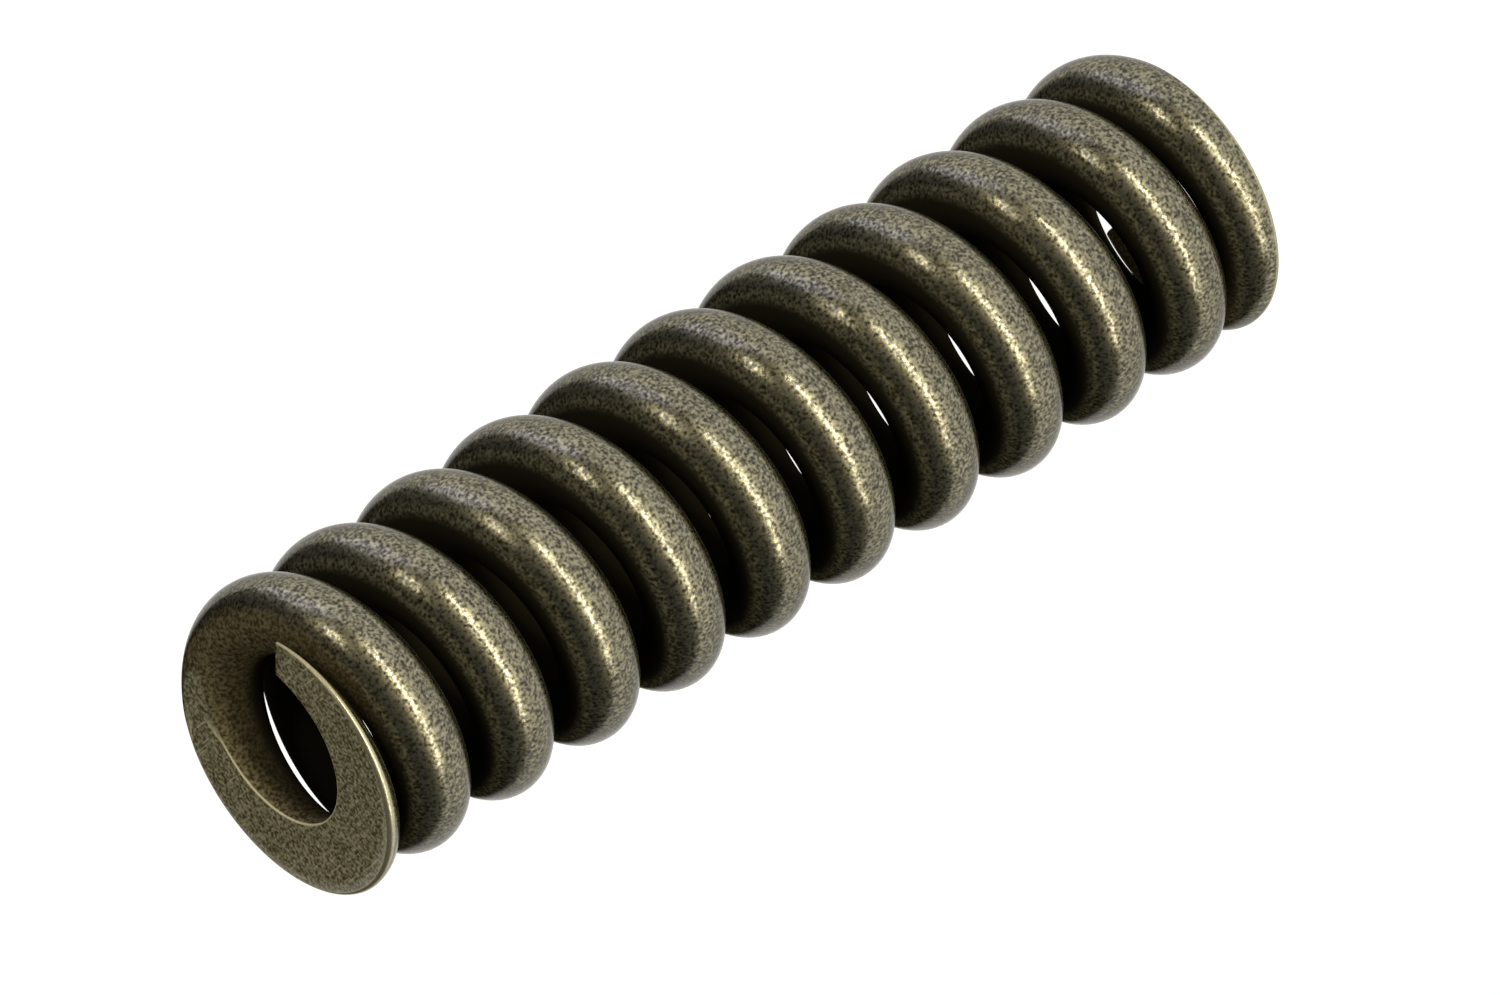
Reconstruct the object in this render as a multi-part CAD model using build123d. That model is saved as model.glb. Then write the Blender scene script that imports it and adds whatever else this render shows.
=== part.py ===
from build123d import *
import os
from math import ceil, cos, pi, sin

# Small compression spring in millimetres: one round wire wound right-handed into a close,
# heavy coil. Each end coil closes down onto the next one, is drawn in a little at its tip,
# and is ground flat, square to the axis, which leaves the tip as a thin tongue.
# The spring stands on its lower ground end. The origin is the centre of that seat, +Z runs up
# the coil's axis, and the wire starts on +X at the lower tip.

# Wire and coil
WIRE_DIAMETER = 3.15
OUTSIDE_DIAMETER = 12.8
FREE_LENGTH = 47.5
TOTAL_COILS = 11.6

# Closed ends, the same at both ends and measured along the wire from its tip
END_PITCH = 3.6
CLOSED_COILS = 0.8
OPENING_COILS = 1.2
TIP_THICKNESS = 0.35
TIP_DRAWN_IN = 0.25
DRAWN_IN_COILS = 0.4
EDGE_ROUNDING = 0.15

# Winding path: guide points in each coil, and faces that share each coil's surface
GUIDE_POINTS = 16
FACES_PER_COIL = 2

WIRE_RADIUS = WIRE_DIAMETER / 2
COIL_RADIUS = (OUTSIDE_DIAMETER - WIRE_DIAMETER) / 2

# Grinding leaves TIP_THICKNESS of the wire above the lower seat, so its centre starts below it
FIRST_HEIGHT = TIP_THICKNESS - WIRE_RADIUS
RISE = FREE_LENGTH - 2 * FIRST_HEIGHT

# The working coils share the rise that the two closed ends leave
SLOW_COILS = CLOSED_COILS + OPENING_COILS / 2
WORKING_PITCH = (RISE - 2 * SLOW_COILS * END_PITCH) / (TOTAL_COILS - 2 * SLOW_COILS)


def rise_from_tip(coils):
    """Height that the wire's centre gains in this many coils from an end tip.

    The pitch is END_PITCH over the closed coils, then opens smoothly to WORKING_PITCH.
    """
    opened = min(max((coils - CLOSED_COILS) / OPENING_COILS, 0), 1)
    while_opening = OPENING_COILS * (opened**3 - opened**4 / 2)
    while_open = max(coils - CLOSED_COILS - OPENING_COILS, 0)
    return END_PITCH * coils + (WORKING_PITCH - END_PITCH) * (while_opening + while_open)


def draw_in(coils):
    """How far the wire is bent in towards the axis, this many coils from an end tip."""
    along = min(coils / DRAWN_IN_COILS, 1)
    return TIP_DRAWN_IN * (1 - along**2 * (3 - 2 * along))


def wire_centre(coils):
    """Centre of the wire, this many coils up from the lower tip."""
    from_top = TOTAL_COILS - coils
    if coils < from_top:
        height = FIRST_HEIGHT + rise_from_tip(coils)
    else:
        height = FREE_LENGTH - FIRST_HEIGHT - rise_from_tip(from_top)
    radius = COIL_RADIUS - draw_in(coils) - draw_in(from_top)
    angle = 2 * pi * coils
    return (radius * cos(angle), radius * sin(angle), height)


def wind_wire():
    """The whole wire as it leaves the coiling machine, cut square at both ends."""
    steps = ceil(TOTAL_COILS * GUIDE_POINTS)
    whole = Spline(*[wire_centre(TOTAL_COILS * step / steps) for step in range(steps + 1)])
    spans = ceil(TOTAL_COILS * FACES_PER_COIL)
    path = Wire([whole.trim(span / spans, (span + 1) / spans) for span in range(spans)])
    section = Plane(origin=path @ 0, z_dir=path % 0) * Circle(WIRE_RADIUS)
    return sweep(section, path=path, is_frenet=True)


def grind_ends(coil):
    """Grind both ends flat at the free length and take the sharp edges off the seats."""
    width = 2 * OUTSIDE_DIAMETER
    between_wheels = Pos(0, 0, FREE_LENGTH / 2) * Box(width, width, FREE_LENGTH)
    ground = coil & between_wheels
    seats = [ground.faces().sort_by(Axis.Z)[0], ground.faces().sort_by(Axis.Z)[-1]]
    sharp_edges = [edge for seat in seats for edge in seat.edges()]
    return fillet(sharp_edges, EDGE_ROUNDING)


spring = grind_ends(wind_wire())
spring.label = "spring"

os.makedirs("parts", exist_ok=True)
export_step(spring, "parts/spring.step")
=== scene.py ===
from math import acos, cos, pi, radians, sin, sqrt

import bmesh
import bpy
from mathutils import Matrix, Vector


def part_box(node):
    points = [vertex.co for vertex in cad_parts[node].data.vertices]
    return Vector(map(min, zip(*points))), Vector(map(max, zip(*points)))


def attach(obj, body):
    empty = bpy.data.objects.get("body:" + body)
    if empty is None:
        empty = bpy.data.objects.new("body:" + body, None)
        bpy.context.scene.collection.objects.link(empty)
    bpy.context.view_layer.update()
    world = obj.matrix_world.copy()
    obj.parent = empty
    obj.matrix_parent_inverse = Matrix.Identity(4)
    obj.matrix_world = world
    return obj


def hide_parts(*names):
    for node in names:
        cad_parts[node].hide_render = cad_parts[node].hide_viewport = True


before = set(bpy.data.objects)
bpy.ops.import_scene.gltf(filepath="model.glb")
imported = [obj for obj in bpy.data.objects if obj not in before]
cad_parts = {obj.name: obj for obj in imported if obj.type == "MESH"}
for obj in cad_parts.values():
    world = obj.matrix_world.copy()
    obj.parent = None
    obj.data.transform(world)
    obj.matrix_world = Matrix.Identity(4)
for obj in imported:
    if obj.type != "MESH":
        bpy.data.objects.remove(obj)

# A small compression spring of shot-peened steel wire with ground ends, standing on a pale
# floor. Lengths are in millimetres until MM turns them into the frame's metres.

MM = 0.001
low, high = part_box("spring")
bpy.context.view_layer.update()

# ---------------------------------------------------------------------------------------------
# Sizes: the outside comes from the frame, the rest are the wire's and the winder's settings

FREE_LENGTH = (high.z - low.z) / MM
OUTSIDE_DIAMETER = (high.x - low.x) / MM
WIRE_DIAMETER = 3.15
TOTAL_COILS = 11.6
END_PITCH = 3.6
CLOSED_COILS = 0.8
OPENING_COILS = 1.2
TIP_THICKNESS = 0.35
TIP_DRAWN_IN = 0.25
DRAWN_IN_COILS = 0.4

# The corners that tumbling and peening leave round each ground seat, how much of a thin tip's
# thickness they may take, and how strongly each side's corner is painted with a pale highlight
OUTER_BREAK = 0.24
INNER_BREAK = 0.07
TIP_BREAK = 0.07
THIN_TIP_SHARE = 0.2
LEAST_BREAK = 0.002
OUTER_CORNER_HIGHLIGHT = 0.6
INNER_CORNER_HIGHLIGHT = 1.0

# How finely the wire's skin is built: rings to a coil, points round each broken corner, where
# the points lie across a flat, points on each round side, and the steps that round off a tip
STEPS_PER_COIL = 120
BREAK_POINTS = 4
FLAT_POINTS = (0.0, 0.06, 0.94, 1.0)
SIDE_POINTS = 22
SEAT_POINTS = 2 * BREAK_POINTS + len(FLAT_POINTS)
TIP_ROUND_STEPS = [radians(angle) for angle in (90, 67.5, 45, 22.5)]
BREAK_FADES_IN_OVER = radians(12)

WIRE_RADIUS = WIRE_DIAMETER / 2
COIL_RADIUS = (OUTSIDE_DIAMETER - WIRE_DIAMETER) / 2
FIRST_HEIGHT = TIP_THICKNESS - WIRE_RADIUS
SLOW_COILS = CLOSED_COILS + OPENING_COILS / 2
RISE = FREE_LENGTH - 2 * FIRST_HEIGHT
WORKING_PITCH = (RISE - 2 * SLOW_COILS * END_PITCH) / (TOTAL_COILS - 2 * SLOW_COILS)
RING_POINTS = 2 * (SEAT_POINTS + SIDE_POINTS)
PATCH_ANGLE = pi * SEAT_POINTS / RING_POINTS


def smooth(x):
    x = min(max(x, 0.0), 1.0)
    return x * x * (3 - 2 * x)


# ---------------------------------------------------------------------------------------------
# The coil

def rise_from_tip(coils):
    """Height that the wire's centre gains over that many coils from the tip."""
    opened = min(max((coils - CLOSED_COILS) / OPENING_COILS, 0.0), 1.0)
    while_opening = OPENING_COILS * (opened**3 - opened**4 / 2)
    while_open = max(coils - CLOSED_COILS - OPENING_COILS, 0.0)
    return END_PITCH * coils + (WORKING_PITCH - END_PITCH) * (while_opening + while_open)


def draw_in(coils):
    """How far the tip is drawn in towards the axis."""
    return TIP_DRAWN_IN * (1 - smooth(coils / DRAWN_IN_COILS))


def wire_centre(coils):
    """A point of the wire's centre line, in millimetres, with 0 coils at the lower tip."""
    to_end = TOTAL_COILS - coils
    if coils < to_end:
        height = FIRST_HEIGHT + rise_from_tip(coils)
    else:
        height = FREE_LENGTH - FIRST_HEIGHT - rise_from_tip(to_end)
    radius = COIL_RADIUS - draw_in(max(coils, 0.0)) - draw_in(max(to_end, 0.0))
    turn = 2 * pi * coils
    return Vector((radius * cos(turn), radius * sin(turn), height))


def wire_axes(coils):
    """The wire's own directions there: along it, outwards from the axis, and up."""
    near = 0.001
    along = (wire_centre(coils + near) - wire_centre(coils - near)).normalized()
    turn = 2 * pi * coils
    outward = Vector((cos(turn), sin(turn), 0))
    outward = (outward - outward.dot(along) * along).normalized()
    return along, outward, outward.cross(along)


# ---------------------------------------------------------------------------------------------
# The wire's cross-section, which the seat plane cuts near each end

def seat_side(depth, radius, breaks):
    """The part of a section that faces a seat plane at that depth from the wire's centre.
    Returns points (outwards, towards the seat) from the inner corner to the outer one, how
    much each is on a broken corner, and the angle at which the round wire starts again."""
    start = PATCH_ANGLE
    reach = radius * sin(PATCH_ANGLE)
    cut = acos(max(depth / radius, -1.0)) if depth < radius else 0.0
    if cut > PATCH_ANGLE:
        reach, start = radius * sin(cut), cut
    plain = []
    for i in range(SEAT_POINTS):
        out = reach * (2 * (i + 0.5) / SEAT_POINTS - 1)
        plain.append(Vector((out, min(sqrt(max(radius**2 - out**2, 0)), depth))))
    if cut > pi / 2:
        plain = [Vector((p.x, depth)) for p in plain]
    share = smooth((cut - PATCH_ANGLE) / BREAK_FADES_IN_OVER)
    angles = [start, start]
    corner = [0.0] * SEAT_POINTS
    if share == 0:
        return plain, corner, angles
    points = list(plain)
    flats = []
    for side, size in enumerate(breaks):
        # a thin tip keeps a keener corner than the full wire
        size = max(min(size, THIN_TIP_SHARE * (radius + depth)), LEAST_BREAK)
        sign = 1 if side else -1
        middle = Vector((sqrt(max((radius - size)**2 - (depth - size)**2, 1e-9)), depth - size))
        swing = acos(max(min((depth - size) / (radius - size), 1.0), -1.0))
        flats.append(sign * middle.x)
        angles[side] = start + (swing - start) * share
        for k in range(BREAK_POINTS):
            angle = swing * (k + 0.5) / BREAK_POINTS
            p = Vector((sign * (middle.x + size * sin(angle)), middle.y + size * cos(angle)))
            i = SEAT_POINTS - BREAK_POINTS + k if side else BREAK_POINTS - 1 - k
            points[i] = plain[i].lerp(p, share)
            # the corner mark also weights the pale painted highlight that the material puts on it
            corner[i] = share * (OUTER_CORNER_HIGHLIGHT if side else INNER_CORNER_HIGHLIGHT)
    # the outer pairs of points on the flat hold its shading up to its corners
    for i, along in enumerate(FLAT_POINTS, BREAK_POINTS):
        out = flats[0] + (flats[1] - flats[0]) * along
        points[i] = plain[i].lerp(Vector((out, depth)), share)
    return points, corner, angles


def wire_section(coils, inset=0.0):
    """One ring of the wire's skin round its centre, as (outwards, up) with its corner marks."""
    along, outward, up = wire_axes(coils)
    centre = wire_centre(coils)
    radius = WIRE_RADIUS - inset
    below = centre.z / up.z - inset
    above = (FREE_LENGTH - centre.z) / up.z - inset
    breaks = (max(INNER_BREAK - inset, 0), max(OUTER_BREAK - inset, 0))
    lower, lower_corner, lower_angles = seat_side(below, radius, breaks)
    upper, upper_corner, upper_angles = seat_side(above, radius, breaks)
    ring = [(p.x, -p.y, c) for p, c in zip(lower, lower_corner)]
    first, last = lower_angles[1], pi - upper_angles[1]
    for k in range(SIDE_POINTS):
        angle = first + (last - first) * (k + 0.5) / SIDE_POINTS
        ring.append((radius * sin(angle), -radius * cos(angle), 0.0))
    ring += [(p.x, p.y, c) for p, c in zip(reversed(upper), reversed(upper_corner))]
    first, last = lower_angles[0], pi - upper_angles[0]
    for k in reversed(range(SIDE_POINTS)):
        angle = first + (last - first) * (k + 0.5) / SIDE_POINTS
        ring.append((-radius * sin(angle), -radius * cos(angle), 0.0))
    return [(centre + outward * x + up * y, c) for x, y, c in ring]


def wind_spring():
    """The whole spring as one closed mesh."""
    mesh = bmesh.new()
    corner_layer = mesh.verts.layers.float.new("broken_corner")
    coil_length = 2 * pi * COIL_RADIUS
    # stations along the wire: how many coils from the tip, and how far the skin is inset there
    tip = [(TIP_BREAK * (1 - sin(a)) / coil_length, TIP_BREAK * (1 - cos(a)))
           for a in TIP_ROUND_STEPS]
    stations = list(tip)
    steps = round(TOTAL_COILS * STEPS_PER_COIL)
    first = TIP_BREAK / coil_length
    stations += [(first + (TOTAL_COILS - 2 * first) * i / steps, 0.0) for i in range(steps + 1)]
    stations += [(TOTAL_COILS - back, inset) for back, inset in reversed(tip)]
    rings = []
    for coils, inset in stations:
        ring = []
        for place, corner in wire_section(coils, inset):
            place.z = min(max(place.z, 0.0), FREE_LENGTH)
            vertex = mesh.verts.new(place * MM)
            vertex[corner_layer] = corner
            ring.append(vertex)
        rings.append(ring)
    for ring, after in zip(rings, rings[1:]):
        for i in range(RING_POINTS):
            j = (i + 1) % RING_POINTS
            mesh.faces.new((ring[i], ring[j], after[j], after[i]))
    # each tip's end face is a ladder of quads between the inner and the outer side
    for ring in (rings[0], rings[-1]):
        half = RING_POINTS // 2
        inner = [ring[(SEAT_POINTS // 2 - 1 - i) % RING_POINTS] for i in range(half)]
        outer = [ring[SEAT_POINTS // 2 + i] for i in range(half)]
        for a, b, c, d in zip(inner, inner[1:], outer[1:], outer):
            mesh.faces.new((a, b, c, d))
    bmesh.ops.recalc_face_normals(mesh, faces=mesh.faces)
    for face in mesh.faces:
        face.smooth = True
    data = bpy.data.meshes.new("spring_coil")
    mesh.to_mesh(data)
    mesh.free()
    return data


# ---------------------------------------------------------------------------------------------
# Materials

def colour(code):
    """An sRGB hex value as the linear colour that the nodes take."""
    parts = [int(code[i:i + 2], 16) / 255 for i in (1, 3, 5)]
    linear = [p / 12.92 if p <= 0.04045 else ((p + 0.055) / 1.055)**2.4 for p in parts]
    return (*linear, 1.0)


def add(tree, kind, inputs=(), **settings):
    """Adds a node with its settings. Inputs map an input's name or number to its value, or to
    the socket that feeds it."""
    node = tree.nodes.new(kind)
    for name, value in settings.items():
        setattr(node, name, value)
    for place, source in dict(inputs).items():
        if isinstance(source, bpy.types.NodeSocket):
            tree.links.new(source, node.inputs[place])
        else:
            node.inputs[place].default_value = source
    return node


def per_metre(size_mm):
    """The texture size setting at which one cell or wave is that many millimetres."""
    return 1 / (size_mm * MM)


# Real sizes on the steel's skin, in millimetres, and the radii, outwards from the wire's centre
# line, over which the painted shade inside the coils gives way to the outer skin.
DIMPLE_WIDTH = 0.16
STRAY_PIT_WIDTH = 0.27
GRIT_WIDTH = 0.14
GLOSS_PATCH_WIDTH = 1.6
TONE_PATCH_WIDTH = 4.0
DIMPLE_DEPTH = 0.002
SEAT_SKIN = 0.02
# the painted shade inside the coils starts to fade at this radius and is gone beyond the next one
OUTER_SIDE_FROM = 0.3
OUTER_SIDE_FULL_BEYOND = 1.4
SCRATCH_LENGTH = 1.5
SCRATCH_WIDTH = 0.09
SCRATCH_ANGLE = radians(35)
# how far from each end the painted shade inside the coils thins and turns brown
OPEN_END_ZONE = 1.8


def peened_spring_steel():
    """Oil-tempered spring wire, shot-peened after winding and oiled. The shot leaves a dense
    skin of dimples, so highlights break into grains, on a dark olive-grey oxide that is paler
    where it has been burnished. A thin oil film over it keeps a crisp line of light. Between
    the coils and inside them the wire is painted dark and matt as shade, which thins and turns
    brown towards the open ends. The seats are ground flat, so they are greyer and finer, and
    their broken corners carry a pale painted highlight."""
    material = bpy.data.materials.new("shot-peened spring steel with ground seats")
    material.use_nodes = True
    tree = material.node_tree
    tree.nodes.clear()
    where = add(tree, "ShaderNodeTexCoord").outputs["Object"]

    # dimples: overlapping bowls, coarser stray pits, and the grit between them
    dimple = add(tree, "ShaderNodeTexVoronoi",
                 {"Vector": where, "Scale": per_metre(DIMPLE_WIDTH), "Smoothness": 0.3},
                 feature="SMOOTH_F1").outputs["Distance"]
    pit = add(tree, "ShaderNodeTexVoronoi",
              {"Vector": where, "Scale": per_metre(STRAY_PIT_WIDTH)}).outputs["Distance"]
    grit = add(tree, "ShaderNodeTexNoise",
               {"Vector": where, "Scale": per_metre(GRIT_WIDTH), "Detail": 1.5,
                "Roughness": 0.5}).outputs["Fac"]
    gloss_patch = add(tree, "ShaderNodeTexNoise",
                      {"Vector": where, "Scale": per_metre(GLOSS_PATCH_WIDTH),
                       "Detail": 2.0}).outputs["Fac"]
    tone_patch = add(tree, "ShaderNodeTexNoise",
                     {"Vector": where, "Scale": per_metre(TONE_PATCH_WIDTH), "Detail": 3.0,
                      "Roughness": 0.6}).outputs["Fac"]

    # the seats: where the skin lies on one of the two seat planes
    height = add(tree, "ShaderNodeSeparateXYZ", {0: where}).outputs["Z"]
    foot_seat = add(tree, "ShaderNodeMapRange",
                    {"Value": height, "From Min": low.z + SEAT_SKIN * MM,
                     "From Max": low.z + SEAT_SKIN * MM / 5}, interpolation_type="SMOOTHSTEP")
    top_seat = add(tree, "ShaderNodeMapRange",
                   {"Value": height, "From Min": high.z - SEAT_SKIN * MM,
                    "From Max": high.z - SEAT_SKIN * MM / 5}, interpolation_type="SMOOTHSTEP")
    seat = add(tree, "ShaderNodeMath", {0: foot_seat.outputs[0], 1: top_seat.outputs[0]},
               operation="MAXIMUM").outputs[0]
    corner = add(tree, "ShaderNodeAttribute", attribute_name="broken_corner").outputs["Fac"]

    # where the wire is clear of the painted shade: all of the outside, and a little of the inside
    # at the open ends
    sideways = add(tree, "ShaderNodeVectorMath", {0: where, 1: (1, 1, 0)}, operation="MULTIPLY")
    from_axis = add(tree, "ShaderNodeVectorMath", {0: sideways.outputs[0]}, operation="LENGTH")
    outside = add(tree, "ShaderNodeMapRange",
                  {"Value": from_axis.outputs["Value"],
                   "From Min": (COIL_RADIUS + OUTER_SIDE_FROM) * MM,
                   "From Max": (COIL_RADIUS + OUTER_SIDE_FULL_BEYOND) * MM}, interpolation_type="SMOOTHSTEP")
    outside = outside.outputs[0]
    near_foot = add(tree, "ShaderNodeMapRange",
                    {"Value": height, "From Min": low.z + OPEN_END_ZONE * MM,
                     "From Max": low.z, "To Max": 0.5}, interpolation_type="SMOOTHSTEP")
    near_top = add(tree, "ShaderNodeMapRange",
                   {"Value": height, "From Min": high.z - OPEN_END_ZONE * MM,
                    "From Max": high.z, "To Max": 0.5}, interpolation_type="SMOOTHSTEP")
    near_end = add(tree, "ShaderNodeMath", {0: near_foot.outputs[0], 1: near_top.outputs[0]},
                   operation="MAXIMUM").outputs[0]
    reach = add(tree, "ShaderNodeMath", {0: outside, 1: near_end}, operation="MAXIMUM")

    # burnish: pale where shot has rubbed the rims of the dimples, dark down in them
    spots = add(tree, "ShaderNodeMath", {0: dimple, 1: 0.35, 2: grit}, operation="MULTIPLY_ADD")
    burnish = add(tree, "ShaderNodeMapRange",
                  {"Value": spots.outputs[0], "From Min": 0.42, "From Max": 1.0},
                  interpolation_type="SMOOTHSTEP").outputs[0]

    # colour: patchy dark oxide with burnished specks, painted shade inside and between the coils
    # that turns brown at the open ends, greyer ground seats with a few stray scratches, and a pale
    # painted highlight on the broken corners
    tone = add(tree, "ShaderNodeMapRange", {"Value": tone_patch, "From Min": 0.35,
                                            "From Max": 0.65}, interpolation_type="SMOOTHSTEP")
    oxide = add(tree, "ShaderNodeMix", {"Factor": tone.outputs[0], 6: colour("#242116"),
                                        7: colour("#2e2b1d")}, data_type="RGBA")
    skin = add(tree, "ShaderNodeMix", {"Factor": burnish, 6: oxide.outputs[2],
                                       7: colour("#989279")}, data_type="RGBA")
    # painted shade: very dark inside and between the coils, turning brown near the open ends
    inner_shade_and_brown = add(tree, "ShaderNodeMix", {"Factor": near_end, 6: colour("#1c1912"),
                                        7: colour("#5e4a1b")}, data_type="RGBA")
    round_wire = add(tree, "ShaderNodeMix", {"Factor": reach.outputs[0], 6: inner_shade_and_brown.outputs[2],
                                             7: skin.outputs[2]}, data_type="RGBA")
    ground = add(tree, "ShaderNodeMix", {"Factor": burnish, 6: colour("#4a4838"),
                                         7: colour("#918e7c")}, data_type="RGBA")
    grain_way = add(tree, "ShaderNodeMapping",
                    {"Vector": where, "Rotation": (0, 0, SCRATCH_ANGLE),
                     "Scale": (1, SCRATCH_LENGTH / SCRATCH_WIDTH, 1)}).outputs[0]
    scratches = add(tree, "ShaderNodeTexNoise",
                    {"Vector": grain_way, "Scale": per_metre(SCRATCH_LENGTH), "Detail": 1.0})
    scratched = add(tree, "ShaderNodeMapRange",
                    {"Value": scratches.outputs["Fac"], "From Min": 0.635, "From Max": 0.745,
                     "To Max": 0.5}, interpolation_type="SMOOTHSTEP")
    marked = add(tree, "ShaderNodeMix", {"Factor": scratched.outputs[0], 6: ground.outputs[2],
                                         7: colour("#b3af9b")}, data_type="RGBA")
    surface = add(tree, "ShaderNodeMix", {"Factor": seat, 6: round_wire.outputs[2],
                                          7: marked.outputs[2]}, data_type="RGBA")
    # a pale painted highlight along the seats' broken corners
    corner_highlight = add(tree, "ShaderNodeMath", {0: corner, 1: 0.9}, operation="MULTIPLY")
    with_corner_highlight = add(tree, "ShaderNodeMix", {"Factor": corner_highlight.outputs[0], 6: surface.outputs[2],
                                       7: colour("#cfc8a8")}, data_type="RGBA")

    # bump: dimples and pits on the round wire, only their faint remains on the seats
    coarse = add(tree, "ShaderNodeMath", {0: pit, 1: 0.6, 2: dimple}, operation="MULTIPLY_ADD")
    relief = add(tree, "ShaderNodeMath", {0: grit, 1: 0.5, 2: coarse.outputs[0]},
                 operation="MULTIPLY_ADD")
    strength = add(tree, "ShaderNodeMapRange", {"Value": seat, "To Min": 1.0, "To Max": 0.35})
    bump = add(tree, "ShaderNodeBump", {"Height": relief.outputs[0], "Distance": DIMPLE_DEPTH * MM,
                                        "Strength": strength.outputs[0]})

    # gloss: burnished specks are smoother, it drifts in patches, and the seats are even
    smoother = add(tree, "ShaderNodeMapRange", {"Value": burnish, "To Min": 0.45, "To Max": 0.25})
    drift = add(tree, "ShaderNodeMapRange", {"Value": gloss_patch, "From Min": 0.3,
                                             "From Max": 0.7, "To Min": -0.03, "To Max": 0.04})
    wire_gloss = add(tree, "ShaderNodeMath", {0: smoother.outputs[0], 1: drift.outputs[0]},
                     operation="ADD")
    gloss = add(tree, "ShaderNodeMix", {"Factor": seat, 2: wire_gloss.outputs[0], 3: 0.45},
                data_type="FLOAT")

    # the painted shade inside the coils is matt, no bare metal, and the corners lose most of their
    # metal, so their pale painted highlight shows from every side
    peened = add(tree, "ShaderNodeMapRange", {"Value": outside, "From Min": 0.15,
                                              "From Max": 0.8}, interpolation_type="SMOOTHSTEP")
    cleaned = add(tree, "ShaderNodeMath", {0: peened.outputs[0], 1: seat}, operation="MAXIMUM")
    corner_metal = add(tree, "ShaderNodeMapRange", {"Value": corner, "From Min": 0.5, "From Max": 1.0,
                                                "To Min": 1.0, "To Max": 0.3},
                   interpolation_type="SMOOTHSTEP")
    metal = add(tree, "ShaderNodeMath", {0: cleaned.outputs[0], 1: corner_metal.outputs[0]},
                operation="MULTIPLY")
    oil_film = add(tree, "ShaderNodeMapRange", {"Value": outside, "From Min": 0.55,
                                                "From Max": 1.0, "To Max": 0.7},
                   interpolation_type="SMOOTHSTEP")
    steel = add(tree, "ShaderNodeBsdfPrincipled",
                {"Base Color": with_corner_highlight.outputs[2], "Roughness": gloss.outputs[0],
                 "Metallic": metal.outputs[0], "Normal": bump.outputs[0],
                 "Specular IOR Level": 0.0, "Specular Tint": colour("#7a745c"),
                 "Coat Weight": oil_film.outputs[0], "Coat Roughness": 0.17})
    add(tree, "ShaderNodeOutputMaterial", {"Surface": steel.outputs[0]})
    return material


FIBRE_WIDTH = 0.6
FLOOR_LIFT = 0.95


def pale_paper_floor():
    """Matt studio paper, pressed from fibre, which gives the eye nothing but a faint mottle. It
    takes the spring's shadow, and the camera and the steel see it lifted to white."""
    material = bpy.data.materials.new("matt white background paper")
    material.use_nodes = True
    tree = material.node_tree
    tree.nodes.clear()
    where = add(tree, "ShaderNodeTexCoord").outputs["Object"]
    fibre = add(tree, "ShaderNodeTexNoise", {"Vector": where, "Scale": per_metre(FIBRE_WIDTH)})
    tint = add(tree, "ShaderNodeMix", {"Factor": fibre.outputs["Fac"], 6: colour("#a5a294"),
                                       7: colour("#adaa9c")}, data_type="RGBA")
    paper = add(tree, "ShaderNodeBsdfDiffuse", {"Color": tint.outputs[2]})
    path = add(tree, "ShaderNodeLightPath").outputs
    seen = add(tree, "ShaderNodeMath", {0: path["Is Camera Ray"], 1: path["Is Glossy Ray"]},
               operation="MAXIMUM")
    seen = add(tree, "ShaderNodeMath", {0: seen.outputs[0], 1: path["Is Transmission Ray"]},
               operation="MAXIMUM")
    lift = add(tree, "ShaderNodeMath", {0: seen.outputs[0], 1: FLOOR_LIFT}, operation="MULTIPLY")
    glow = add(tree, "ShaderNodeEmission", {"Strength": lift.outputs[0]})
    both = add(tree, "ShaderNodeAddShader", {0: paper.outputs[0], 1: glow.outputs[0]})
    add(tree, "ShaderNodeOutputMaterial", {"Surface": both.outputs[0]})
    return material


# ---------------------------------------------------------------------------------------------
# The spring

spring = bpy.data.objects.new("spring_coil", wind_spring())
bpy.context.collection.objects.link(spring)
spring.data.materials.append(peened_spring_steel())
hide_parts("spring")
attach(spring, "root")

# ---------------------------------------------------------------------------------------------
# The camera: looks down on the upper seat from a distance, rolled so that the coil lies
# slanting across the view

CAMERA_AZIMUTH = radians(176.53)
CAMERA_HEIGHT = radians(30.93)
CAMERA_ROLL = radians(-122.19)
CAMERA_DISTANCE = 829.4
LENS = 512.71
SENSOR_WIDTH = 36
AIM_RIGHT = 0.772
AIM_DOWN = 1.239

centre = (low + high) / 2
back = Vector((cos(CAMERA_AZIMUTH) * cos(CAMERA_HEIGHT),
               sin(CAMERA_AZIMUTH) * cos(CAMERA_HEIGHT), sin(CAMERA_HEIGHT)))
level = Vector((0, 0, 1)).cross(back).normalized()
upright = back.cross(level)
right = level * cos(CAMERA_ROLL) + upright * sin(CAMERA_ROLL)
top = back.cross(right)

camera = bpy.data.objects.new("camera", bpy.data.cameras.new("camera"))
bpy.context.collection.objects.link(camera)
camera.location = centre + back * CAMERA_DISTANCE * MM
aim = centre + (right * AIM_RIGHT - top * AIM_DOWN) * MM
look_back = (camera.location - aim).normalized()
look_right = top.cross(look_back).normalized()
look_up = look_back.cross(look_right)
turned = [[look_right[i], look_up[i], look_back[i]] for i in range(3)]
camera.rotation_mode = "QUATERNION"
camera.rotation_quaternion = Matrix(turned).to_quaternion()
camera.data.lens = LENS
camera.data.sensor_width = SENSOR_WIDTH
camera.data.clip_start = 0.01
camera.data.clip_end = 20
bpy.context.scene.camera = camera

# ---------------------------------------------------------------------------------------------
# The studio. Each lamp runs between two directions as the camera sees them: to its right,
# upwards and towards it. Strips give each coil its line and spot of light, a cool window
# lights the tops of the coils, and a softbox lights the ground seat.

WARM_STRIP = "#fff8e0"
WARM_BOX = "#fff8e8"
COOL_WINDOW = "#e8e8ff"


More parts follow.
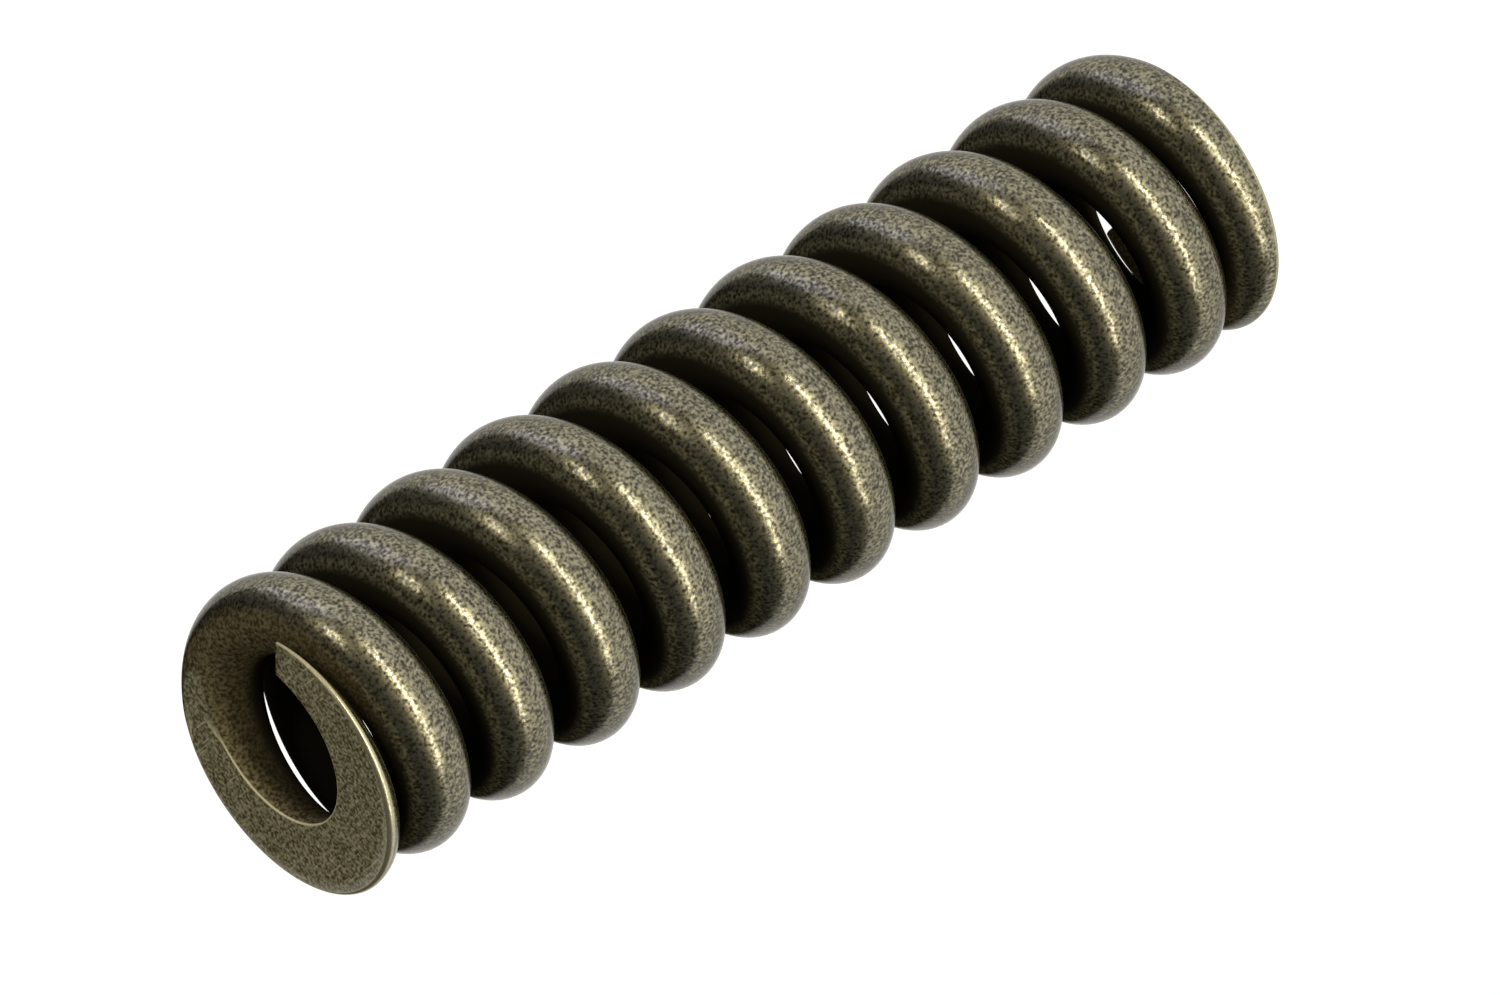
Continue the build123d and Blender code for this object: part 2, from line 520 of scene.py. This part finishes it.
def strip_lamp(name, start, end, width, distance, radiance, tint):
    """An area lamp from one direction to another, with its width and its distance from the
    spring in metres. Radiance is how bright its face is, whatever its size."""
    ends = [centre + (right * d[0] + top * d[1] + back * d[2]).normalized() * distance
            for d in (start, end)]
    middle = (ends[0] + ends[1]) / 2
    length = (ends[1] - ends[0]).length
    lamp = bpy.data.lights.new(name, "AREA")
    lamp.shape = "RECTANGLE"
    lamp.size, lamp.size_y = length, width
    lamp.energy = radiance * pi * length * width
    lamp.color = colour(tint)[:3]
    holder = bpy.data.objects.new(name, lamp)
    bpy.context.collection.objects.link(holder)
    facing = (middle - centre).normalized()
    along = (ends[1] - ends[0]).normalized()
    along = (along - along.dot(facing) * facing).normalized()
    across = facing.cross(along)
    holder.location = middle
    holder.rotation_mode = "QUATERNION"
    turned = [[along[i], across[i], facing[i]] for i in range(3)]
    holder.rotation_quaternion = Matrix(turned).to_quaternion()


strip_lamp("upper_strip", (0.11, 0.53, 0.84), (0.43, 0.05, 0.89), 0.06, 0.5, 20.0, WARM_STRIP)
strip_lamp("middle_strip", (0.43, 0.05, 0.89), (0.66, -0.42, 0.60), 0.06, 0.5, 20.0, WARM_STRIP)
strip_lamp("lower_strip", (0.66, -0.42, 0.60), (0.60, -0.77, 0.20), 0.08, 0.5, 8.0, WARM_STRIP)
strip_lamp("spot_strip", (-0.48, 0.46, 0.74), (-0.62, 0.12, 0.77), 0.08, 0.5, 9.0, WARM_STRIP)
strip_lamp("soft_window", (-0.7, 0.6, 0.10), (0.4, 0.92, 0.10), 0.5, 0.6, 1.7, COOL_WINDOW)
strip_lamp("end_softbox", (-0.9, -0.25, -0.46), (-0.6, -0.69, -0.46), 0.3, 0.5, 1.12, WARM_BOX)

SKY_STRENGTH = 0.11
world = bpy.data.worlds.new("studio")
bpy.context.scene.world = world
world.use_nodes = True
world.node_tree.nodes.clear()
sky = add(world.node_tree, "ShaderNodeBackground",
          {"Color": colour("#ffffff"), "Strength": SKY_STRENGTH})
add(world.node_tree, "ShaderNodeOutputWorld", {"Surface": sky.outputs[0]})

FLOOR_HALF_WIDTH = 3.0
floor_mesh = bmesh.new()
bmesh.ops.create_grid(floor_mesh, x_segments=8, y_segments=8, size=FLOOR_HALF_WIDTH)
floor_data = bpy.data.meshes.new("floor")
floor_mesh.to_mesh(floor_data)
floor_mesh.free()
floor = bpy.data.objects.new("floor", floor_data)
bpy.context.collection.objects.link(floor)
floor.location = (0, 0, low.z)
floor.data.materials.append(pale_paper_floor())

bpy.context.scene.view_settings.view_transform = "Standard"
